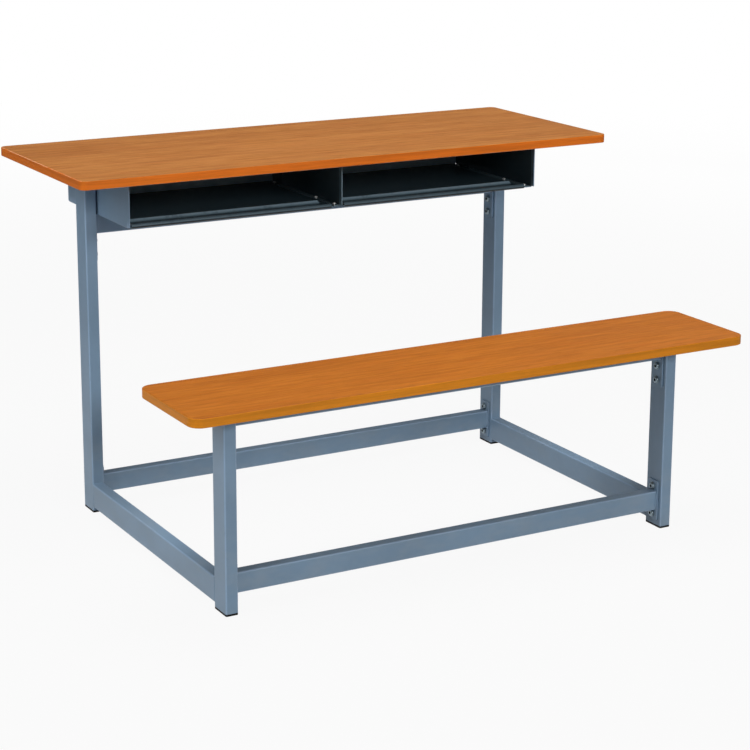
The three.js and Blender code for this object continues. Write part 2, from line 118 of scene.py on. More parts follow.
class SchoolDeskColours(bpy.types.PropertyGroup):
    """Colours of the finishes"""

    desk_light: colour("Desk laminate, light", "Light wood of the desk top", (199, 131, 64))
    desk_dark: colour("Desk laminate, dark", "Dark grain of the desk top", (158, 92, 32))
    seat_light: colour("Seat laminate, light", "Light wood of the seat", (204, 122, 38))
    seat_dark: colour("Seat laminate, dark", "Dark grain of the seat", (172, 94, 21))
    desk_strip: colour("Desk edge strip", "Strip round the desk top", (222, 115, 27))
    seat_strip: colour("Seat edge strip", "Strip round the seat", (222, 136, 26))
    backing: colour("Backing sheet", "Underside of both boards", (168, 124, 84))
    coat: colour("Frame coat", "Powder coat of the frame", (122, 149, 174))
    # The rubbed frame colour also stands for painted highlight along the corners of the tubes.
    coat_worn_and_highlight: colour("Rubbed frame coat", "Rubbed corners of the frame", (174, 202, 233))
    # The box colour is painted shade: a darker copy of the frame coat for the inside of the book
    # box, whose outside keeps the frame coat.
    box_coat: colour("Box coat", "Powder coat of the book box, inside", (51, 69, 79))
    # The rubbed box colour also stands for painted highlight on the beads, the lip and the
    # divider's fold.
    box_worn: colour("Rubbed box coat", "Rubbed edges and beads of the book box", (146, 174, 190))
    # The rear colour is painted light: a paler coat that makes the inner face of the book box's
    # rear wall look lit.
    rear: colour("Rear coat", "Powder coat of the book box's rear wall, inside", (166, 204, 226))
    zinc: colour("Zinc", "Plating of the bolts and screws", (128, 142, 150))
    # The socket colour is painted shade: the dark inside of the bolts' sockets.
    socket: colour("Sockets", "Grime in the bolts' sockets", (22, 27, 31))
    rivet: colour("Rivet", "Bare aluminium of the rivets", (238, 248, 255))
    foot: colour("Feet", "Plastic of the feet", (10, 10, 12))


class SchoolDeskStudio(bpy.types.PropertyGroup):
    """Light of the studio"""

    key: power("Key", "Light from high on the left", 255)
    side: power("Side", "Faint light from low on the left", 2.5)
    front: power("Front", "Light from the front, a little above the desk", 290)
    back: power("Back", "Faint light from behind on the right", 30)
    top: power("Top", "Light from straight above", 60)
    world: bpy.props.FloatProperty(
        name="Surroundings", description="Light from all round", default=0.07, min=0
    )
    floor: colour("Floor", "Studio floor as the object is lit by it", (172, 172, 172))


# Shapes


def round_rectangle(width, depth, radius, steps):
    """A rectangle with round corners, anticlockwise round the origin. Each corner is an arc of the
    radius round a centre one radius inside both sides. Returns the centres of the arcs, the arcs'
    directions, and how far along its arc each point is, as a sine that is 1 at the middle."""
    corner = np.repeat(np.arange(4), steps + 1)
    share = np.tile(np.linspace(0, 1, steps + 1), 4)
    angle = (corner + share) * math.pi / 2
    side = np.stack([np.where(corner % 3 == 0, 1, -1), np.where(corner < 2, 1, -1)], -1)
    centre = side * (np.array([width, depth]) / 2 - radius)
    return centre, np.stack([np.cos(angle), np.sin(angle)], -1), np.sin(share * math.pi)


def stack(width, depth, radius, places, steps):
    """Rings of a block with round corners. Each place is how far in from the full outline the ring
    lies and how high: a point is its corner's centre plus the radius less that inset along the
    arc's direction. Past the radius the ring's corners are square and its centres move in."""
    inset, height = np.array(places, float).T
    centre, way, middle = round_rectangle(width, depth, radius, steps)
    past = np.maximum(inset - radius, 0)[:, None, None]
    flat = centre - np.sign(centre) * past + np.maximum(radius - inset, 0)[:, None, None] * way
    up = np.broadcast_to(height[:, None, None], (*flat.shape[:2], 1))
    return np.concatenate([flat, up], -1), np.broadcast_to(middle, flat.shape[:2])


def rounded(bottom, top, radius, steps=3):
    """Places of a block whose lower and upper edges are quarter circles: at angle a the ring is
    inset by the radius times 1 - sin a, and lies the radius times 1 - cos a from the face."""
    angle = np.linspace(0, math.pi / 2, steps + 1)
    inset, rise = radius * (1 - np.sin(angle)), radius * (1 - np.cos(angle))
    lower, upper = np.stack([inset, bottom + rise], -1), np.stack([inset, top - rise], -1)
    return np.concatenate([lower, upper[::-1]])


def lathe(profile, sides, shape=None):
    """A profile of radius and height turned about Z. Where shape says so, a row's radius is
    multiplied by the hexagon's: the cosine of 30 degrees over the cosine of the angle from the
    middle of the hexagon's side."""
    radius, height = np.array(profile, float).T
    angle = np.arange(sides) * 2 * math.pi / sides
    hexagon = math.cos(math.pi / 6) / np.cos((angle + math.pi / 6) % (math.pi / 3) - math.pi / 6)
    which = np.zeros(len(radius)) if shape is None else np.array(shape, float)
    reach = radius[:, None] * (1 + which[:, None] * (hexagon - 1))
    up = np.broadcast_to(height[:, None], reach.shape)
    return np.stack([reach * np.cos(angle), reach * np.sin(angle), up], -1)


def along(points, axis):
    """Points drawn with Z along a piece, turned so that it runs along the named axis."""
    return np.roll(points, "xyz".index(axis) + 1, axis=-1)


def length_of(low, high, axis):
    return (high - low)["xyz".index(axis)]


def block(low, high, axis, corner, places, steps=8):
    """Rings of a block as wide and deep as a box, with the places that stack has, which start at
    the box's lower end along the named axis. Returns them and stack's sines."""
    up = "xyz".index(axis)
    width, depth, _ = np.roll(high - low, -1 - up)
    points, middle = stack(width, depth, corner, places, steps)
    start = (low + high) / 2
    start[up] = low[up]
    return along(points, axis) + start, middle


def round_trip(points):
    """How far round a closed outline each of its points is, and last the whole way round."""
    return np.concatenate([[0], np.cumsum(np.linalg.norm(np.roll(points, -1, 0) - points, axis=1))])


def grid_faces(rows, columns, closed_rows, closed_columns):
    """The four-sided faces between the points of a grid, which may close on itself either way."""
    row = np.arange(rows if closed_rows else rows - 1)[:, None]
    column = np.arange(columns if closed_columns else columns - 1)[None, :]
    below, above = row * columns, (row + 1) % rows * columns
    beside = (column + 1) % columns
    corners = [below + column, below + beside, above + beside, above + column]
    return np.stack(np.broadcast_arrays(*corners), -1).reshape(-1, 4)


class Form:
    """The closed shells that one piece is made of."""

    def __init__(self):
        self.points, self.faces, self.rub, self.uv = [], [], [], []
        self.count = 0

    def shell(self, points, faces, rub=None, uv=None):
        """Adds a shell. The sum of the volumes between each face and the shell's middle is
        negative where the faces look inwards, and they are then turned round."""
        centred = points - points.mean(0)
        volume = 0
        for group in faces:
            corner = centred[group]
            first, second, third = corner[:, :1], corner[:, 1:-1], corner[:, 2:]
            volume += (first * np.cross(second, third)).sum()
        turn = slice(None, None, -1 if volume < 0 else 1)
        for index, group in enumerate(faces):
            self.faces += (group[:, turn] + self.count).tolist()
            if uv is not None:
                self.uv.append(uv[index][:, turn].reshape(-1, 2))
        self.points.append(points)
        self.rub.append(np.zeros(len(points)) if rub is None else np.asarray(rub).ravel())
        self.count += len(points)
        return self

    def grid(self, points, rub=None, closed_rows=False, closed_columns=True, uv=None):
        """Adds a grid of points. One that is open along its rows gets a flat face at each end."""
        rows, columns = points.shape[:2]
        faces = [grid_faces(rows, columns, closed_rows, closed_columns)]
        if not closed_rows:
            end = np.arange(columns)[None]
            faces += [end[:, ::-1], end + (rows - 1) * columns]
        return self.shell(points.reshape(-1, 3), faces, rub, uv)

    def sheet(self, points, kept, thickness, wear_and_light=0.0):
        """Adds a sheet of even thickness: every point of the grid moves half the thickness to
        either side along the normal, which is the cross product of the grid's slopes. Cells that
        aren't kept are left out, and a strip of faces closes every free edge. The free edges are
        rubbed, and the points take the given values of rubbing, painted highlight and painted
        shade."""
        normal = np.cross(np.gradient(points, axis=0), np.gradient(points, axis=1))
        normal /= np.maximum(np.linalg.norm(normal, axis=-1, keepdims=True), 1e-12)
        total = points.shape[0] * points.shape[1]
        near = (points + normal * thickness / 2).reshape(-1, 3)
        far = (points - normal * thickness / 2).reshape(-1, 3)
        face = grid_faces(*points.shape[:2], False, False)[kept.ravel()]
        edge = np.concatenate([face[:, [k, (k + 1) % 4]] for k in range(4)])
        key = edge[:, 0].astype(np.int64) * total + edge[:, 1]
        back = edge[:, 1].astype(np.int64) * total + edge[:, 0]
        free = edge[~np.isin(key, back)]
        strip = np.stack([free[:, 1], free[:, 0], free[:, 0] + total, free[:, 1] + total], -1)
        faces = np.concatenate([face, face[:, ::-1] + total, strip])
        used, faces = np.unique(faces, return_inverse=True)
        rub = np.tile(np.broadcast_to(wear_and_light, points.shape[:2]).ravel(), 2)
        rub[np.concatenate([free.ravel(), free.ravel() + total])] = 1
        both = np.concatenate([near, far])
        return self.shell(both[used], [faces.reshape(-1, 4)], rub[used])

    def moved(self, offset, turn=0.0):
        """The same form turned about Z and then moved."""
        c, s = math.cos(turn), math.sin(turn)
        rotation = np.array([[c, s, 0], [-s, c, 0], [0, 0, 1]])
        self.points = [points @ rotation + np.asarray(offset) for points in self.points]
        return self

    def piece(self, name, material, slot, *nodes, smooth=50, patch=None):
        """Makes the piece, which stands for the named solids, and lets it ride on the frame. A
        patch is one or more further finishes, and then what tells which of them each face has."""
        mesh = bpy.data.meshes.new(name)
        mesh.from_pydata(np.concatenate(self.points), [], self.faces)
        rub = mesh.attributes.new("rub", "FLOAT", "POINT")
        rub.data.foreach_set("value", np.concatenate(self.rub).astype(np.float32))
        if self.uv:
            layer = mesh.uv_layers.new(name="strip")
            layer.data.foreach_set("uv", np.concatenate(self.uv).ravel().astype(np.float32))
        mesh.shade_smooth()
        mesh.set_sharp_from_angle(angle=math.radians(smooth))
        made = placed(name, mesh)
        for each in (material, *(patch or ())[:-1]):
            mesh.materials.append(each)
        if patch:
            mesh.polygons.foreach_set("material_index", patch[-1](mesh).astype(np.int32))
        even = made.modifiers.new("Even shading", "WEIGHTED_NORMAL")
        even.keep_sharp = True
        even.weight = 90
        mesh.validate()
        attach(made, "root")
        if nodes:
            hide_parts(*nodes)
        return made


def facing(mesh):
    """The normals and the middles of a mesh's faces."""
    normal, middle = np.empty((2, 3 * len(mesh.polygons)), np.float32)
    mesh.polygons.foreach_get("normal", normal)
    mesh.polygons.foreach_get("center", middle)
    return normal.reshape(-1, 3).T, middle.reshape(-1, 3).T


def placed(name, data):
    """A new object in the scene."""
    made = bpy.data.objects.new(name, data)
    bpy.context.scene.collection.objects.link(made)
    return made


def node_box(name):
    """A solid's lowest and highest corners as arrays."""
    low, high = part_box(name)
    return np.array(low), np.array(high)


def tube(name, axis, corner, wall):
    """A tube of the solid's size: two rings outside and two inside, closed on each other."""
    low, high = node_box(name)
    length = length_of(low, high, axis)
    places = [[0, 0], [0, length], [wall, length], [wall, 0]]
    points, rub = block(low, high, axis, corner, places)
    # The outer corners are paler where rubbed, and as painted highlight.
    return Form().grid(points, rub * [[1], [1], [0], [0]], closed_rows=True)


def ripple(count, seed):
    """How the radius of a hand-laid weld varies along it: a wave for each drop and a slow drift."""
    place = np.linspace(0, 2 * math.pi, count, endpoint=False)
    drops = 0.07 * np.abs(np.sin(place * (count // 8) + seed))
    return 0.93 + drops + 0.05 * np.sin(3 * place + seed) + 0.04 * np.sin(7 * place + 2 * seed)


def weld_loop(width, depth, corner, bead, sink, axis, seed):
    """A weld round a tube's end: a circle carried round the tube's outline, its centre sunk under
    the outline by sink across and sink along, its radius the bead's times the ripple."""
    centre, way, _ = round_rectangle(width, depth, corner, 6)
    outline = centre + corner * way
    gone, closed = round_trip(outline), np.vstack([outline, outline[:1]])
    count = int(gone[-1] / WELD_STEP)
    place = np.linspace(0, gone[-1], count, endpoint=False)
    path = np.stack([np.interp(place, gone, closed[:, k]) for k in (0, 1)], -1)
    tangent = np.roll(path, -1, 0) - np.roll(path, 1, 0)
    normal = np.stack([tangent[:, 1], -tangent[:, 0]], -1)
    normal /= np.linalg.norm(normal, axis=1, keepdims=True)
    base = path - normal * (np.abs(normal) @ np.array(sink))[:, None]
    angle = np.linspace(0, 2 * math.pi, WELD_SIDES, endpoint=False)
    radius = (bead * ripple(count, seed))[:, None, None]
    flat = base[:, None] + radius * np.cos(angle)[None, :, None] * normal[:, None]
    up = np.broadcast_to(radius * np.sin(angle)[None, :, None], (*flat.shape[:2], 1))
    return along(np.concatenate([flat, up], -1), axis)


def weld_line(start, end, bead, seed):
    """A straight weld: a circle carried along a line, its radius the bead's times the ripple and
    times the fourth root of 1 - t to the eighth, t running from -1 to 1, which rounds its ends."""
    start, end = np.array(start), np.array(end)
    length = np.linalg.norm(end - start)
    way = (end - start) / length
    count = int(length / WELD_STEP) + 8
    t = np.linspace(-0.999, 0.999, count)
    radius = bead * ripple(count, seed) * (1 - t**8) ** 0.25
    first = np.cross(way, [1.0, 0, 0] if abs(way[0]) < 0.5 else [0, 1.0, 0])
    first /= np.linalg.norm(first)
    angle = np.linspace(0, 2 * math.pi, WELD_SIDES, endpoint=False)[:, None]
    ring = np.cos(angle) * first + np.sin(angle) * np.cross(way, first)
    middle = (start + end) / 2 + (t * length / 2)[:, None] * way
    return middle[:, None] + radius[:, None, None] * ring[None]


# Finishes

RUBBED_STRIP = paint(234, 186, 146)
DUST = paint(176, 178, 176)


class Value:
    """A socket of a shader. Arithmetic on it adds the Math nodes that work it out."""

    def __init__(self, shader, socket):
        self.shader, self.socket = shader, socket

    def math(self, operation, *values):
        settings = {"operation": operation}
        return self.shader.node("Math", settings, dict(enumerate(values)), "Value")

    def __add__(self, other):
        return self.math("ADD", self, other)

    def __sub__(self, other):
        return self.math("SUBTRACT", self, other)

    def __rsub__(self, other):
        return self.math("SUBTRACT", other, self)

    def __mul__(self, other):
        return self.math("MULTIPLY", self, other)

    __radd__, __rmul__ = __add__, __mul__

    def between(self, low, high):
        """From 0 where the value is at low to 1 where it is at high, eased at both ends."""
        settings = {"interpolation_type": "SMOOTHSTEP"}
        inputs = {"Value": self, "From Min": low, "From Max": high}
        return self.shader.node("MapRange", settings, inputs, "Result")


class Shader:
    """The nodes of a finish, which work on the piece's own coordinates, or of the surroundings."""

    def __init__(self, owner):
        owner.use_nodes = True
        self.owner, self.tree = owner, owner.node_tree
        self.tree.nodes.clear()

    @functools.cached_property
    def place(self):
        return self.node("TexCoord", {}, {}, "Object")

    def node(self, kind, settings, inputs, output=None):
        made = self.tree.nodes.new("ShaderNode" + kind)
        for name, value in settings.items():
            setattr(made, name, value)
        for name, value in inputs.items():
            if isinstance(value, Value):
                self.tree.links.new(value.socket, made.inputs[name])
            else:
                made.inputs[name].default_value = value
        return made if output is None else Value(self, made.outputs[output])

    def noise(self, scale, detail=2.0, roughness=0.5, distortion=0.0, base=None):
        """Noise, finer by the scale, which is one number or one for each axis."""
        vectors = {0: base or self.place, 1: tuple(np.broadcast_to(scale, 3).tolist())}
        place = self.node("VectorMath", {"operation": "MULTIPLY"}, vectors, "Vector")
        inputs = {"Vector": place, "Scale": 1.0, "Detail": detail}
        inputs |= {"Roughness": roughness, "Distortion": distortion}
        return self.node("TexNoise", {}, inputs, "Fac")

    def mix(self, factor, first, second):
        """A colour between two others."""
        pair = [c if isinstance(c, Value) else (*c, 1.0) for c in (first, second)]
        inputs = {0: factor, 6: pair[0], 7: pair[1]}
        return self.node("Mix", {"data_type": "RGBA"}, inputs, 2)

    def bump(self, height, distance, strength):
        inputs = {"Height": height, "Distance": distance, "Strength": strength}
        return self.node("Bump", {}, inputs, "Normal")

    def rub(self):
        """How far a piece is rubbed, and painted paler as highlight, as its mesh has it: 1 where
        most, and below 0 where shade is painted.
        """
        return self.node("Attribute", {"attribute_name": "rub"}, {}, "Fac")

    def surface(self, **sockets):
        inputs = {name.replace("_", " "): value for name, value in sockets.items()}
        shaded = self.node("BsdfPrincipled", {}, inputs, "BSDF")
        self.node("OutputMaterial", {}, {"Surface": shaded})
        return self.owner


def finish(name, make, **values):
    """The finish of that name, made when it is first asked for."""
    return bpy.data.materials.get(name) or make(Shader(bpy.data.materials.new(name)), **values)


def tint(tone, factor, added=0.0):
    """A colour times a factor, with the same amount added to its red, green and blue."""
    return tuple(min(1.0, factor * c + added) for c in tone)


def laminate(s, light, dark, shift):
    """Printed wood grain along X: faint wide bands, fine short streaks, ruddy flecks and pores."""
    place = s.node("VectorMath", {"operation": "ADD"}, {0: s.place, 1: (shift, shift, 0)}, "Vector")
    bands = s.noise((0.9, 15, 15), 3, 0.55, 0.9, place)
    figure = s.noise((5, 95, 95), 3, 0.6, 0.4, place)
    streaks = s.noise((16, 330, 330), 3, 0.65, 0, place)
    pores = s.noise((45, 900, 900), 1, 0.5, 0, place).between(0.6, 0.74)
    ruddy = s.noise((9, 160, 160), 2, 0.5, 0.3, place).between(0.48, 0.66)
    grain = bands * 0.2 + figure * 0.34 + streaks * 0.46
    wood = s.mix(grain.between(0.36, 0.64), dark, light)
    red, green, blue = light
    wood = s.mix(ruddy * 0.3, wood, (red, 0.78 * green, 0.72 * blue))
    wood = s.mix(pores * 0.3, wood, tint(dark, 0.66))
    normal = s.bump(streaks * 0.4 - pores * 0.8, 0.08 * MM, 0.5)
    rough = 0.46 + s.noise(9, 4, 0.6) * 0.1 + pores * 0.08
    return s.surface(Base_Color=wood, Roughness=rough, Normal=normal, Specular_IOR_Level=0.16)


def edging(s, base, swirl):
    """The strip round a board: grain along its length, its edges paler where they are rubbed, and
    along the top of the desk's left end also as painted highlight.
    """
    run = s.node("UVMap", {"uv_map": "strip"}, {}, "UV")
    bands = s.noise((3, 90, 1), 3, 0.55, 0.6, run)
    streaks = s.noise((14, 900, 1), 2, 0.6, swirl, run)
    worn_and_highlit = s.rub() * s.noise(22, 4, 0.7).between(0.35, 0.55)
    grain = bands * 0.6 + streaks * 0.4
    tone = s.mix(grain.between(0.36, 0.64), tint(base, 0.8), tint(base, 1.1))
    tone = s.mix(worn_and_highlit * 0.7, tone, RUBBED_STRIP)
    rough, normal = 0.42 + s.noise(30, 3) * 0.12, s.bump(streaks, 0.06 * MM, 0.4)
    return s.surface(Base_Color=tone, Roughness=rough, Normal=normal, Specular_IOR_Level=0.2)


def backing(s, base):
    """Plain backing sheet on the underside of a board."""
    mottle = s.noise(60, 5, 0.65)
    tone = s.mix(mottle, tint(base, 0.85), tint(base, 1.1))
    rough = 0.55 + s.noise(14, 3) * 0.15
    return s.surface(Base_Color=tone, Roughness=rough, Normal=s.bump(mottle, 0.1 * MM, 0.3))


def powder_coat(s, base, bare_and_highlight, dust, gloss, shine):
    """Sprayed and baked coat: a fine orange peel, slow changes of tone, fine specks, a little dust
    near the floor, and paler metal where it is rubbed, which is partly painted highlight. Where
    the attribute is below 0 the coat is darkened as painted shade."""
    drift = s.noise(5, 4, 0.6)
    speck = s.noise(1600, 1, 0.5).between(0.62, 0.8)
    worn_and_highlit = s.rub() * s.noise(30, 5, 0.7).between(0.15, 0.5)
    height = s.node("SeparateXYZ", {}, {0: s.place}, "Z")
    settled = (1 - height.between(0.0, 0.35)) * s.noise((11, 11, 26), 5, 0.65).between(0.35, 0.75)
    tone = s.mix(drift.between(0.3, 0.7), tint(base, 0.93), tint(base, 1.07))
    tone = s.mix(speck * 0.12, tone, tint(base, 1.5, 0.05))
    # Paler where rubbed, which also stands for painted highlight on corners, edges, beads and the
    # lip.
    tone = s.mix(worn_and_highlit * 0.4, tone, bare_and_highlight)
    # Painted shade: below 0, as under the book box's lip, the coat is darkened.
    tone = s.mix(s.rub() * -0.9, tone, tint(base, 0.1))
    tone = s.mix(settled * dust, tone, DUST)
    rough = gloss + drift * 0.1 + settled * 0.2 - worn_and_highlit * 0.08
    peel = s.bump(s.noise(420, 2, 0.5), 0.1 * MM, 0.35)
    return s.surface(Base_Color=tone, Roughness=rough, Normal=peel, Specular_IOR_Level=shine)


def bare_metal(s, base, gloss, metallic):
    """Plated or uncoated metal with fine scratches and dull patches."""
    patch = s.noise(260, 4, 0.6)
    tone = s.mix(patch, tint(base, 0.75), tint(base, 1.15))
    rough = gloss + patch * 0.2
    scratch = s.bump(s.noise((3500, 300, 300), 2, 0.6), 0.03 * MM, 0.4)
    return s.surface(Base_Color=tone, Roughness=rough, Metallic=metallic, Normal=scratch)


def moulded(s, base):
    """Moulded plastic with a fine spark-eroded grain and grey scuffs."""
    grain = s.noise(1300, 2, 0.6)
    scuff = s.noise((140, 140, 400), 4, 0.7).between(0.55, 0.75)
    tone = s.mix(scuff * 0.3, base, tint(base, 1, 0.05))
    rough, normal = 0.55 + grain * 0.15, s.bump(grain, 0.08 * MM, 0.5)
    return s.surface(Base_Color=tone, Roughness=rough, Normal=normal, Specular_IOR_Level=0.2)


def sizes():
    return bpy.context.scene.school_desk_sizes


def shade(name):
    return tuple(getattr(bpy.context.scene.school_desk_colours, name))


def coat(name, base, bare_and_highlight, dust, gloss, shine):
    tones = {"base": shade(base), "bare_and_highlight": shade(bare_and_highlight)}
    return finish(name, powder_coat, **tones, dust=dust, gloss=gloss, shine=shine)


def frame_coat():
    return coat("frame_powder_coat", "coat", "coat_worn_and_highlight", dust=0.22, gloss=0.36, shine=0.5)


# The darker coat of the book box's inside, which is painted shade.
def box_coat():
    return coat("box_powder_coat", "box_coat", "box_worn", dust=0.0, gloss=0.28, shine=0.25)


def rear_painted_light_coat():
    """The paler coat on the inner face of the book box's rear wall, which is painted light."""
    return coat("rear_powder_coat", "rear", "coat_worn_and_highlight", dust=0.0, gloss=0.36, shine=0.5)


def zinc():
    return finish("zinc_plating", bare_metal, base=shade("zinc"), gloss=0.25, metallic=0.9)


def board_top(tone, shift):
    light, dark = shade(f"{tone}_light"), shade(f"{tone}_dark")
    return finish(f"{tone}_laminate", laminate, light=light, dark=dark, shift=shift)


# Boards

BOARDS = (("desk_top", "desk", 0.0), ("bench_seat", "seat", 3.7))  # solid, tone, shift of grain
WORN_AND_HIGHLIT_END = 4 * MM  # how far from the desk's left end its strip has a pale upper edge, rubbed and painted highlight


class AddBoards(bpy.types.Operator):
    """Adds the laminated boards of desk and seat"""

    bl_idname = "school_desk.add_boards"
    bl_label = "Boards"

    def execute(self, context):
        under = finish("backing_sheet", backing, base=shade("backing"))
        for name, tone, shift in BOARDS:
            (low, high), strip = node_box(name), node_box(f"{name}_edge_strip")
            corner = getattr(sizes(), f"{tone}_corner") - (low[0] - strip[0][0])
            places = rounded(0, high[2] - low[2], 0.12 * MM, 2)
            board = Form().grid(block(low, high, "z", corner, places, CURVE_STEPS)[0])
            top = board_top(tone, shift)

            def bottom(mesh):
                return facing(mesh)[0][2] < -0.5

            patch = (under, bottom)
            board.piece(f"{name}_board", top, "wood_laminate", name, smooth=80, patch=patch)
        return {"FINISHED"}


class AddEdgeStrips(bpy.types.Operator):
    """Adds the strips glued round the boards"""

    bl_idname = "school_desk.add_edge_strips"
    bl_label = "Edge strips"

    def execute(self, context):
        for name, tone, shift in BOARDS:
            node = f"{name}_edge_strip"
            low, high = node_box(node)
            height, inner = high[2] - low[2], sizes().strip_thickness + GLUE
            outside = rounded(0, height, sizes().strip_rounding, 6)
            places = np.vstack([[inner, 0], outside, [inner, height]])
            corner = getattr(sizes(), f"{tone}_corner")
            points, _ = block(low, high, "z", corner, places, CURVE_STEPS)
            run, climb = round_trip(points[len(points) // 2]), round_trip(places)
            near = np.stack(np.broadcast_arrays(run[None, :], climb[:, None]), -1)
            uv = np.stack([near[:-1, :-1], near[:-1, 1:], near[1:, 1:], near[1:, :-1]], 2)
            lower, upper = np.zeros((2, len(points), 1))
            lower[2:6, 0], upper[-6:-2, 0] = [0.3, 1, 1, 0.4], [0.4, 1, 1, 0.3]
            # The desk's left end gets a pale upper edge, as rubbing and painted highlight.
            worn_and_highlit_end = (points[..., 0] < low[0] + WORN_AND_HIGHLIT_END) & (tone == "desk")
            rub = lower * (1.3 if tone == "desk" else 0.4) + upper * worn_and_highlit_end * 1.2
            form = Form().grid(points, rub, closed_rows=True, uv=[uv.reshape(-1, 4, 2)])
            base = shade(f"{tone}_strip")
            strip = finish(f"{tone}_strip", edging, base=base, swirl=shift)

            def rim(mesh):
                """The strip's upper rim, which is as brown as the board except along the top of the
                desk's left end, where the strip stays pale as rubbing and painted highlight.
                """
                normal, middle = facing(mesh)
                return (normal[2] > 0.4) & ((tone == "seat") | (middle[0] > low[0] + WORN_AND_HIGHLIT_END))

            patch = (board_top(tone, shift), rim)
            form.piece(f"{name}_edging", strip, "edge_strip", node, patch=patch)
        return {"FINISHED"}


# Frame


class AddTubes(bpy.types.Operator):
    """Adds the legs, floor rails and stretchers"""

    bl_idname = "school_desk.add_tubes"
    bl_label = "Tubes"

    def execute(self, context):
        corner, wall = sizes().tube_corner, sizes().tube_wall
        runs = [(f"{side}_{place}_leg", "z") for side, _ in SIDES for place in PLACES]
        runs += [(f"{side}_floor_rail", "y") for side, _ in SIDES]
        runs += [(f"{name}_stretcher", "x") for name in STRETCHERS]
        for name, axis in runs:
            tube(name, axis, corner, wall).piece(f"{name}_tube", frame_coat(), "frame_coat", name)
        return {"FINISHED"}


class AddPlates(bpy.types.Operator):
    """Adds the plates on top of the legs and at the ends of the stretchers"""

    bl_idname = "school_desk.add_plates"
    bl_label = "Plates"

    def execute(self, context):
        top = ("z", TOP_PLATE_CORNER)
        end = ("x", sizes().plate_corner)
        flats = [(f"{side}_{place}_top_plate", *top) for side, _ in SIDES for place in PLACES]
        flats += [(f"{name}_{side}_end_plate", *end) for name in STRETCHERS for side, _ in SIDES]
        for name, axis, corner in flats:
            low, high = node_box(name)
            places = rounded(0, length_of(low, high, axis), sizes().plate_rounding)
            form = Form().grid(block(low, high, axis, corner, places)[0])
            form.piece(f"{name}_sheet", frame_coat(), "frame_coat", name)
        return {"FINISHED"}


class AddWelds(bpy.types.Operator):
    """Adds the weld beads where tubes and plates meet"""

    bl_idname = "school_desk.add_welds"
    bl_label = "Welds"

    def execute(self, context):
        bead, corner = sizes().weld, sizes().tube_corner
        for side, way in SIDES:
            low, high = node_box(f"{side}_floor_rail")
            middle = (low + high) / 2
            width, height = high[2] - low[2], high[0] - low[0]
            joints, sink = Form(), (0.4 * bead, 0.86 * bead)
            for index, y in enumerate((low[1], high[1])):
                loop = weld_loop(width, height, corner, bead, sink, "y", index + way)
                joints.grid(loop + [middle[0], y, middle[2]], closed_rows=True)
            joints.piece(f"{side}_rail_welds", frame_coat(), "frame_coat", smooth=180)
            for place in PLACES:
                low, high = node_box(f"{side}_{place}_leg")
                middle = (low + high) / 2
                width, depth = (high - low)[:2]
                sink = (0.3 * bead, 0.3 * bead)
                loop = weld_loop(width, depth, corner, 0.8 * bead, sink, "z", 5 + way)
                ring = Form().grid(loop + [middle[0], middle[1], high[2]], closed_rows=True)
                ring.piece(f"{side}_{place}_plate_weld", frame_coat(), "frame_coat", smooth=180)
        for number, name in enumerate(STRETCHERS):
            low, high = node_box(f"{name}_stretcher")
            beads = Form()
            margin = 4 * MM
            for x in (low[0], high[0]):
                for y in (low[1], high[1]):
                    ends = (x, y, low[2] + margin), (x, y, high[2] - margin)
                    beads.grid(weld_line(*ends, 0.9 * bead, number + 40 * x + 9 * y))
            beads.piece(f"{name}_welds", frame_coat(), "frame_coat", smooth=180)
        return {"FINISHED"}


class AddFeet(bpy.types.Operator):
    """Adds the plastic feet"""

    bl_idname = "school_desk.add_feet"
    bl_label = "Feet"

    def execute(self, context):
        plastic = finish("foot_moulding", moulded, base=shade("foot"))
        plug, wall, sole, edge = 1.7 * MM, 1.2 * MM, 4 * MM, 0.5 * MM
        for name in [f"{side}_{place}_foot" for side, _ in SIDES for place in PLACES]:
            low, high = node_box(name)
            height = high[2] - low[2]
            places = rounded(0, sole, edge).tolist()
            places += [[plug, sole], [plug, height], [plug + wall, height], [plug + wall, sole]]
            form = Form().grid(block(low, high, "z", sizes().tube_corner, places)[0])
            form.piece(f"{name}_cap", plastic, "foot_plastic", name)
        return {"FINISHED"}


# Fasteners

RIVET_BULB = 1.8 * MM  # how far a rivet's bulb stands out under the sheets
SOLID_HEAD = 1.3 * MM  # the height of a rivet's head in the solids


def bolt_form():
    """A button-headed bolt and its washer about Z, the washer's underside at the origin. The dome
    is a quarter ellipse from the head's rim to its crown, and the socket's walls are a hexagon."""
    washer, head, crown, socket = 8.3 * MM, 7 * MM, 4.4 * MM, 3.2 * MM
    seat, rise, deep, length = 1.2 * MM, 3.6 * MM, 2.4 * MM, 15 * MM
    hole, shank, point = 4.2 * MM, 4 * MM, 0.8 * MM
    edge, rim, sides = 0.25 * MM, 0.5 * MM, 48
    top = seat + rise
    lap = [[hole, 0], [washer - edge, 0], [washer, edge], [washer, seat - edge]]
    lap += [[washer - edge, seat], [hole, seat]]
    angle = np.linspace(0, math.pi / 2, 9)
    reach, height = (head - crown) * np.cos(angle), (rise - rim) * np.sin(angle)
    dome = np.stack([crown + reach, seat + rim + height], -1)
    profile = [[shank - point, -length], [shank, point - length], [shank, seat - edge]]
    profile += [[head - edge, seat - edge], [head, seat], *dome.tolist()]
    profile += [[3.9 * MM, top], [1.08 * socket, top - 0.05 * MM], [socket, top - 0.3 * MM]]
    profile += [[socket, top - deep], [0.3 * socket, top - deep - 0.5 * MM]]
    shape = [0] * (len(profile) - 4) + [1] * 4
    form = Form().grid(lathe(lap, sides), closed_rows=True)
    return form.grid(lathe(profile, sides, shape))


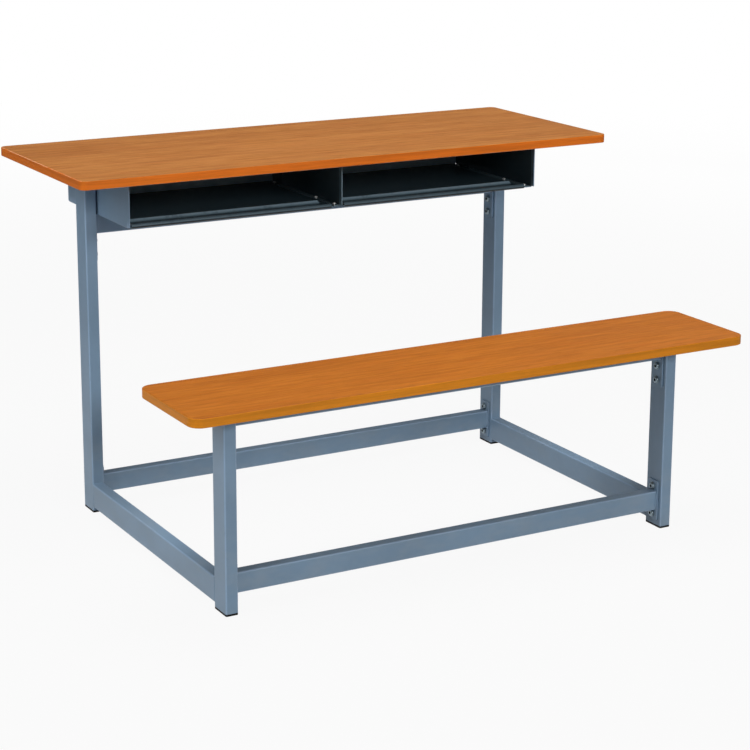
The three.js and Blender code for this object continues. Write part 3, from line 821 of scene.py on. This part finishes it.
def rivet_form(grip):
    """A blind rivet about Z, the underside of its head at the origin. The head is a quarter
    ellipse with the broken stem sunk in its middle, and the far end is a bulb."""
    head, rim, rise, shank, tail = 4 * MM, 0.8 * MM, 2.8 * MM, 2 * MM, 3 * MM
    angle = np.linspace(0, math.pi / 2, 9)
    bulb = np.stack([tail * np.sin(angle), -grip - RIVET_BULB * np.cos(angle)], -1)[1:]
    dome = np.stack([head * np.cos(angle), rim + (rise - rim) * np.sin(angle)], -1)
    dome = dome[dome[:, 0] > 1.35 * MM]
    stem = [[1.2 * MM, 2.6 * MM], [1.05 * MM, 1.9 * MM], [0.95 * MM, 1.9 * MM]]
    stem += [[0.9 * MM, 2.2 * MM], [0.6 * MM, 2.35 * MM]]
    profile = [*bulb.tolist(), [shank, -grip], [shank, 0], [head, 0.1 * MM], *dome.tolist(), *stem]
    return Form().grid(lathe(profile, 32))


def screw_form():
    """A pan-headed wood screw about Z, the underside of its head at the origin and its point up.
    The head's face is a height over radius and angle, cut by a cross wherever either coordinate
    is small, and its depth eases to nothing towards the ends of the cross."""
    radius, rise, shank, length = 4.4 * MM, 2.4 * MM, 1.9 * MM, 15 * MM
    cut, half_width, half_span, sides = 1.7 * MM, 0.62 * MM, 2.9 * MM, 64
    reach = np.concatenate([[1.0, 0.97, 0.9], np.linspace(0.8, 0.04, 14)]) * radius
    angle = np.arange(sides) * 2 * math.pi / sides
    x, y = reach[:, None] * np.cos(angle), reach[:, None] * np.sin(angle)
    dome = rise * (1 - (reach / radius) ** 4 * 0.75)
    near, far = np.minimum(np.abs(x), np.abs(y)), np.maximum(np.abs(x), np.abs(y))
    across = np.clip((half_width - near) / (0.25 * MM), 0, 1)
    ended = np.clip((half_span - far) / (1.1 * MM), 0, 1)
    face = np.stack([x, y, -(dome[:, None] - cut * across * ended)], -1)
    climb = [[0.5 * MM, length], [0.7 * shank, length - 3 * MM], [shank, length - 6 * MM]]
    body = lathe([*climb, [shank, 0], [radius, 0]], sides)
    return Form().grid(np.concatenate([body, face]))


class AddBolts(bpy.types.Operator):
    """Adds the bolts that hold the stretchers to the legs"""

    bl_idname = "school_desk.add_bolts"
    bl_label = "Bolts"

    def execute(self, context):
        # Painted shade: the sockets get a dark finish where shade falls in them.
        socket_shade = finish("socket_grime", bare_metal, base=shade("socket"), gloss=0.5, metallic=0.2)
        spots = [(name, side, number) for name in STRETCHERS for side in SIDES for number in (1, 2)]
        for name, (side, way), number in spots:
            node = f"{name}_{side}_bolt_{number}"
            low, high = node_box(node)
            middle = (low + high) / 2
            plate = node_box(f"{name}_{side}_end_plate")[way > 0][0]
            seat = [plate + way * COAT, middle[1], middle[2]]
            turn = 0.35 * number + middle[1] * 7 + way  # not all sockets are turned alike
            form = bolt_form().moved([0, 0, 0], turn)
            form.points = [along(points, "x") for points in form.points]
            form.moved(seat, 0 if way > 0 else math.pi)

            def socket(mesh):
                """The faces near the bolt's axis, in front of the plate."""
                x, y, z = facing(mesh)[1]
                off = np.hypot(y - seat[1], z - seat[2])
                return (off < 3.4 * MM) & ((x - seat[0]) * way > 1 * MM)

            patch = (socket_shade, socket)
            form.piece(f"{node}_head", zinc(), "zinc_bolt", node, smooth=40, patch=patch)
        return {"FINISHED"}


class AddRivets(bpy.types.Operator):
    """Adds the blind rivets of the book box"""

    bl_idname = "school_desk.add_rivets"
    bl_label = "Rivets"

    def execute(self, context):
        metal = finish("rivet_aluminium", bare_metal, base=shade("rivet"), gloss=0.2, metallic=0.5)
        for row in ("left", "divider", "right"):
            for number in (1, 2, 3):
                node = f"{row}_rivet_{number}"
                low, high = node_box(node)
                middle = (low + high) / 2
                form = rivet_form(high[2] - low[2] - SOLID_HEAD - RIVET_BULB)
                form.moved([middle[0], middle[1], high[2] - SOLID_HEAD])
                form.piece(f"{node}_dome", metal, "rivet", node, smooth=45)
        return {"FINISHED"}


TOP_PLATE_SCREWS = {"desk": (-136, -66, 66, 136), "bench": (-76, 76)}  # from its middle, in mm
REAR_SCREWS = (-400, -140, 140, 400)  # along the tray's rear flange, in mm
WALL_SCREWS = {"left_panel": 11, "divider": -9, "right_panel": -11}  # from the web along X, in mm
WALL_SCREW_ROWS = (60, 250)  # back from a wall's front, in mm


class AddScrews(bpy.types.Operator):
    """Adds the screws that hold the boards and the book box"""

    bl_idname = "school_desk.add_screws"
    bl_label = "Screws"

    def execute(self, context):
        gap, spots = 0.05 * MM, []
        for side, _ in SIDES:
            for place, offsets in TOP_PLATE_SCREWS.items():
                low, high = node_box(f"{side}_{place}_top_plate")
                middle = (low + high) / 2
                for number, offset in enumerate(offsets):
                    at = [middle[0], middle[1] + offset * MM, low[2] - gap]
                    spots.append((f"{side}_{place}_screw_{number + 1}", at))
        _, high = node_box("book_box_tray")
        flange = high[2] - sizes().sheet - gap
        for number, x in enumerate(REAR_SCREWS):
            spots.append((f"box_rear_screw_{number + 1}", [x * MM, high[1] - 7 * MM, flange]))
        for wall, inset in WALL_SCREWS.items():
            box_low, box_high = node_box(f"book_box_{wall}")
            web = box_low[0] if inset > 0 else box_high[0]
            for number, y in enumerate(WALL_SCREW_ROWS):
                at = [web + inset * MM, box_low[1] + y * MM, flange]
                spots.append((f"box_{wall}_screw_{number + 1}", at))
        for number, (name, at) in enumerate(spots):
            screw_form().moved(at, 0.7 * number).piece(name, zinc(), "zinc_bolt", smooth=35)
        return {"FINISHED"}


# Book box

LIP_OPENING = 1.1  # how far the lip's roll stops short of a full turn, in radians
LIP_NOTCHES = (5 * MM, 25 * MM)  # from a wall to the lip and bead on its right, and on its left
LIP_WEAR_AND_HIGHLIGHT, LIP_SHADE, BEAD_WEAR_AND_HIGHLIGHT = 0.55, -1.0, 2.4  # paler over the lip and on a bead as rubbing and painted highlight, darker under the lip as painted shade
HEM = 10 * MM  # how far the walls' front edges are folded back
WALLS = (  # each wall, the way that its flanges point along X, and how wide they are
    ("left_panel", 1, 20 * MM),
    ("right_panel", -1, 20 * MM),
    ("divider", -1, 14 * MM),
)


def arc(x, y, radius, start, end, steps):
    angle = np.linspace(start, end, steps + 1)
    return np.stack([x + radius * np.cos(angle), y + radius * np.sin(angle)], -1)


def front_lip(level):
    """The section of the rolled lip and the curve that eases it into the floor at that level. The
    two arcs touch on the line between their centres, whose lean follows from the difference of
    their heights. Returns them, and how far back the floor begins."""
    lip, ease = sizes().lip, 1.5 * MM
    roll = lip - sizes().sheet / 2
    lean = math.asin((level + ease - lip) / (roll + ease))
    root = lip + (roll + ease) * math.cos(lean)
    curl = arc(lip, lip, roll, 2 * math.pi - LIP_OPENING, lean, 28)
    return curl, arc(root, level + ease, ease, math.pi + lean, 1.5 * math.pi, 4)[1:], root


class AddTray(bpy.types.Operator):
    """Adds the book box's floor and rear wall, bent from one sheet with a lip and two beads"""

    bl_idname = "school_desk.add_tray"
    bl_label = "Tray"

    def execute(self, context):
        """The tray's section is carried along X. A bead is the section raised by a cosine of how
        far each point is from the bead's middle line, which has round ends. Its crest is paler, as
        rubbing and painted highlight, and so is the upper half of the lip, and the lip's lower half
        is darkened as painted shade."""
        (_, high), panel = node_box("book_box_tray"), node_box("book_box_left_panel")
        sheet, bend, lip = sizes().sheet, sizes().bend, sizes().lip
        front, under = panel[0][1], panel[0][2]
        level = sheet + COAT + sheet / 2
        rear = panel[1][1] - front - sheet / 2
        top = high[2] - under - sheet / 2
        curl, ease, root = front_lip(level)
        bead, wide = sizes().bead_setback, sizes().bead_width / 2
        cross = np.linspace(-1.15, 1.15, 25) * wide + bead
        back = np.linspace(bead + 60 * MM, rear - bend - 4 * MM, 5)
        floor_y = np.concatenate([[root + 8 * MM, bead - 20 * MM], cross, [bead + 20 * MM], back])
        floor = np.stack([floor_y, np.full(len(floor_y), level)], -1)
        foot = arc(rear - bend, level + bend, bend, -math.pi / 2, 0, 6)
        head = arc(rear + bend, top - bend, bend, math.pi, math.pi / 2, 6)
        line = np.concatenate([curl, ease, floor, foot, head, [[high[1] - front, top]]])
        half, web = high[0], -(panel[0][0] + sheet / 2)
        left_notch, right_notch = LIP_NOTCHES
        spans = ((left_notch - web, -right_notch), (left_notch, web - right_notch))
        stops = [-half, half, *np.linspace(-half, half, 13)[1:-1]]
        for start, stop in spans:
            near = np.linspace(0, wide, 9)
            stops += [*(start + near), *(stop - near), start + 20 * MM, stop - 20 * MM]
        x = np.unique(np.round(stops, 7))
        across = np.tile(x, (len(line), 1))
        y, z = np.tile(line[:, :1], len(x)), np.tile(line[:, 1:], len(x))
        row = np.arange(len(line))
        first_kept = len(curl) + len(ease) - 1
        on_floor = (row > first_kept) & (line[:, 0] < rear - bend)
        climb = (line[:, 1] - lip) * (row < len(curl)) / (lip - sheet / 2)
        # The coat is paler over the lip, as rubbing and painted highlight, and darker under it, as
        # painted shade.
        wear_and_light = np.select([climb > 0, climb < -0.2], [LIP_WEAR_AND_HIGHLIGHT, LIP_SHADE])
        wear_and_light = np.tile(wear_and_light[:, None], len(x))
        for start, stop in spans:
            middle, reach = (start + stop) / 2, (stop - start) / 2 - wide
            past = np.maximum(np.abs(x - middle) - reach, 0)
            share = np.clip(np.hypot(past, y - bead) / (1.12 * wide), 0, 1)
            crest = on_floor[:, None] * np.cos(share * math.pi / 2)
            z += sizes().bead_rise * crest**1.2
            # The bead's crest is paler, as rubbing and painted highlight.
            wear_and_light += BEAD_WEAR_AND_HIGHLIGHT * crest
        centre = (x[1:] + x[:-1]) / 2
        lipped = np.any([(centre > start) & (centre < stop) for start, stop in spans], 0)
        kept = (row[:-1] >= first_kept)[:, None] | lipped
        wall_top = len(line) - len(head) - 1
        reach = web - sheet / 2 - 0.15 * MM  # the rear wall ends between the side panels
        across[wall_top - 1 : wall_top + 1, [0, -1]] = [-reach, reach]
        points = np.stack([across, y + front, z + under], -1)

        def outside(mesh):
            """1 for the underside behind the lip and the rear wall's back, 2 for its inner face,
            which gets the paler coat of painted light. The other faces get the darker coat of
            painted shade.
            """
            normal, middle = facing(mesh)
            behind = middle[1] > front + root
            inner = behind & (normal[1] < -0.8)
            return behind * ((normal[2] < -0.5) | (normal[1] > 0.8)) + 2 * inner

        form, patch = Form().sheet(points, kept, sheet, wear_and_light), (frame_coat(), rear_painted_light_coat(), outside)
        name = "book_box_tray"
        form.piece(f"{name}_sheet", box_coat(), "box_coat", name, smooth=60, patch=patch)
        return {"FINISHED"}


class AddBoxWalls(bpy.types.Operator):
    """Adds the side panels and the divider of the book box"""

    bl_idname = "school_desk.add_box_walls"
    bl_label = "Box walls"

    def execute(self, context):
        """A wall's section, a flange, a web and a flange, is carried along Y, and its front edge
        is folded back by a half turn into a hem. The fold of the divider is paler, as rubbing and
        painted highlight."""
        sheet, bend = sizes().sheet, sizes().bend
        fold = (sheet + COAT) / 2
        rear_limit = node_box("book_box_left_panel")[1][1] - sheet - bend - COAT
        for wall, way, flange in WALLS:
            name, divides = f"book_box_{wall}", wall == "divider"
            low, high = node_box(name)
            web = low[0] + sheet / 2 if way > 0 else high[0] - sheet / 2
            bottom, top = low[2] + sheet / 2, high[2] - sheet / 2
            lower = arc(bend, bottom + bend, bend, -math.pi / 2, -math.pi, 6)
            upper = arc(bend, top - bend, bend, math.pi, math.pi / 2, 6)
            rise = np.linspace(lower[-1], upper[0], 8)[1:-1]
            section = np.concatenate([[[flange, bottom]], lower, rise, upper, [[flange, top]]])
            bent = arc(fold, fold + sheet / 2, fold, 0, -math.pi, 10)
            far = np.array([HEM, HEM + 2 * MM, 60 * MM, 160 * MM, rear_limit - low[1]])
            ends = far if divides else np.append(far, high[1] - low[1])
            line = np.concatenate([[[2 * fold, HEM]], bent, np.stack([0 * ends, ends], -1)])
            x = web + way * (section[:, :1] + line[None, :, 0])
            y = np.broadcast_to(low[1] + line[None, :, 1], x.shape)
            z = np.broadcast_to(section[:, 1:], x.shape)
            on_web = np.zeros(len(section) - 1, bool)
            on_web[len(lower) : -len(upper)] = True
            cell = np.arange(len(line) - 1)
            flanged = (cell > len(bent)) & (cell < len(line) - (1 if divides else 2))
            kept = on_web[:, None] | flanged
            rub = np.zeros(len(line))
            # The divider's fold is paler, as rubbing and painted highlight.
            rub[1 : len(bent) + 1] = 2 * divides * np.sin(np.linspace(0, math.pi, len(bent)))
            form = Form().sheet(np.stack([x, y, z], -1), kept, sheet, rub)

            def outside(mesh):
                """The underside, and a side panel's outer face and front edge, which keep the frame
                coat. The other faces get the darker coat of painted shade.
                """
                normal, middle = facing(mesh)
                below = (normal[2] < -0.5) & (middle[2] < (bottom + top) / 2)
                beside = (normal[1] < -0.3) | (normal[0] * way < -0.3)
                return below | (beside & (not divides))

            patch = (frame_coat(), outside)
            form.piece(f"{name}_sheet", box_coat(), "box_coat", name, smooth=60, patch=patch)
        return {"FINISHED"}


# Studio

LAMPS = {  # the width and height of each lamp, and where it stands
    "key": (4.4, 4.0, (-6.6, -1.2, 4.8)),
    "side": (2.0, 0.5, (-2.3, 0.0, 1.0)),
    "front": (6.0, 1.4, (0.4, -8.0, 3.5)),
    "back": (2.0, 2.0, (3.4, 2.4, 1.2)),
    "top": (2.0, 2.0, (0.2, -0.4, 3.4)),
}
AIM = (0, 0, 0.4)  # where every lamp points
FLOOR_RADIUS = 9.0
CAMERA_PLACE = (-1.987482, -3.568188, 1.449299)
CAMERA_TURN = (29.381, 13.718, 0.252)  # the camera's yaw to the right, dip and roll in degrees
CAMERA_LENS, CAMERA_SHIFT = 99.314, -0.10


def lamp(name, watts, width, height, place):
    light = bpy.data.lights.new(name, "AREA")
    light.energy, light.shape, light.size, light.size_y = watts, "RECTANGLE", width, height
    made = placed(name, light)
    made.location = place
    made.rotation_euler = (Vector(place) - Vector(AIM)).to_track_quat("Z", "Y").to_euler()
    return made


def white_to_view(shader, shaded, share, mirrored):
    """A surface that the camera and glass see as part white light, and mirrors as another part."""
    path = shader.node("LightPath", {}, {})
    kinds = ("Camera", "Glossy", "Transmission")
    camera, glossy, through = (Value(shader, path.outputs[f"Is {kind} Ray"]) for kind in kinds)
    white = shader.node("Emission", {}, {"Color": (1, 1, 1, 1), "Strength": 1.0}, "Emission")
    factor = camera.math("MAXIMUM", camera, through) * share + glossy * mirrored
    return shader.node("MixShader", {}, {0: factor, 1: shaded, 2: white}, "Shader")


class AddStudio(bpy.types.Operator):
    """Adds the floor, the lights, the surroundings and the camera"""

    bl_idname = "school_desk.add_studio"
    bl_label = "Studio"

    def execute(self, context):
        scene, studio = context.scene, context.scene.school_desk_studio
        self.floor(tuple(studio.floor))
        for name, (width, height, place) in LAMPS.items():
            made = lamp(f"{name.title()} light", getattr(studio, name), width, height, place)
            made.visible_glossy = name != "back"
        world = bpy.data.worlds.new("Surroundings")
        s = Shader(world)
        inputs = {"Color": (1, 1, 1, 1), "Strength": studio.world}
        lit = s.node("Background", {}, inputs, "Background")
        s.node("OutputWorld", {}, {"Surface": white_to_view(s, lit, 1.0, 0.2)})
        scene.world = world
        scene.view_settings.view_transform = "Standard"
        self.camera(scene)
        return {"FINISHED"}

    def floor(self, tone):
        """A wide disc that seems pale to the camera and keeps the object's shadow. It isn't there
        for whoever looks at it from below."""
        angle = np.linspace(0, 2 * math.pi, 96, endpoint=False)
        ring = np.stack([np.cos(angle), np.sin(angle), 0 * angle], -1) * FLOOR_RADIUS
        mesh = bpy.data.meshes.new("Floor")
        mesh.from_pydata(ring, [], [list(range(len(ring)))])
        floor = placed("Floor", mesh)
        s = Shader(bpy.data.materials.new("studio_floor"))
        mottled = s.mix(s.noise(30, 3), tint(tone, 0.98), tone)
        inputs = {"Base Color": mottled, "Roughness": 0.8}
        shaded = s.node("BsdfPrincipled", {}, inputs, "BSDF")
        far = s.node("VectorMath", {"operation": "LENGTH"}, {0: s.place}, "Value")
        white = 0.93 + far.between(1.6, 6.0) * 0.07
        pale = white_to_view(s, shaded, white, 1 - far.between(0.7, 3.0))
        behind = s.node("NewGeometry", {}, {}, "Backfacing")
        clear = s.node("BsdfTransparent", {}, {}, "BSDF")
        oneway = s.node("MixShader", {}, {0: behind, 1: pale, 2: clear}, "Shader")
        s.node("OutputMaterial", {}, {"Surface": oneway})
        mesh.materials.append(s.owner)

    def camera(self, scene):
        """The camera stands where the picture was taken. It looks along its yaw and its dip, and
        its right side is raised by its roll."""
        yaw, dip, roll = (math.radians(angle) for angle in CAMERA_TURN)
        level = np.array([math.sin(yaw), math.cos(yaw), 0])
        ahead = math.cos(dip) * level - [0, 0, math.sin(dip)]
        right = np.array([math.cos(yaw), -math.sin(yaw), 0])
        up = np.cross(right, ahead)
        side = math.cos(roll) * right + math.sin(roll) * up
        over = math.cos(roll) * up - math.sin(roll) * right
        data = bpy.data.cameras.new("Camera")
        data.sensor_width, data.lens, data.shift_y = 36, CAMERA_LENS, CAMERA_SHIFT
        data.clip_end = 100
        camera = placed("Camera", data)
        place = Matrix(np.column_stack([side, over, -ahead]).tolist()).to_4x4()
        place.translation = CAMERA_PLACE
        camera.matrix_world = place
        scene.camera = camera


OPERATORS = (
    AddBoards,
    AddEdgeStrips,
    AddTubes,
    AddPlates,
    AddWelds,
    AddFeet,
    AddBolts,
    AddRivets,
    AddScrews,
    AddTray,
    AddBoxWalls,
    AddStudio,
)


class SchoolDeskPanel(bpy.types.Panel):
    """Lists the pieces of the desk"""

    bl_idname = "VIEW3D_PT_school_desk"
    bl_label = "School Desk"
    bl_space_type = "VIEW_3D"
    bl_region_type = "UI"
    bl_category = "School Desk"

    def draw(self, context):
        column = self.layout.column()
        for operator in OPERATORS:
            column.operator(operator.bl_idname)
        for scene_group in GROUPS:
            group, box = getattr(context.scene, scene_group), self.layout.box()
            for name in group.__annotations__:
                box.prop(group, name)


GROUPS = {
    "school_desk_sizes": SchoolDeskSizes,
    "school_desk_colours": SchoolDeskColours,
    "school_desk_studio": SchoolDeskStudio,
}


def register():
    for made in (*GROUPS.values(), *OPERATORS, SchoolDeskPanel):
        bpy.utils.register_class(made)
    for name, group in GROUPS.items():
        setattr(bpy.types.Scene, name, bpy.props.PointerProperty(type=group))


def unregister():
    for name in GROUPS:
        delattr(bpy.types.Scene, name)
    for made in (SchoolDeskPanel, *OPERATORS[::-1], *GROUPS.values()):
        bpy.utils.unregister_class(made)


def main():
    register()
    for operator in OPERATORS:
        group, name = operator.bl_idname.split(".")
        getattr(getattr(bpy.ops, group), name)()


if __name__ == "__main__":
    main()
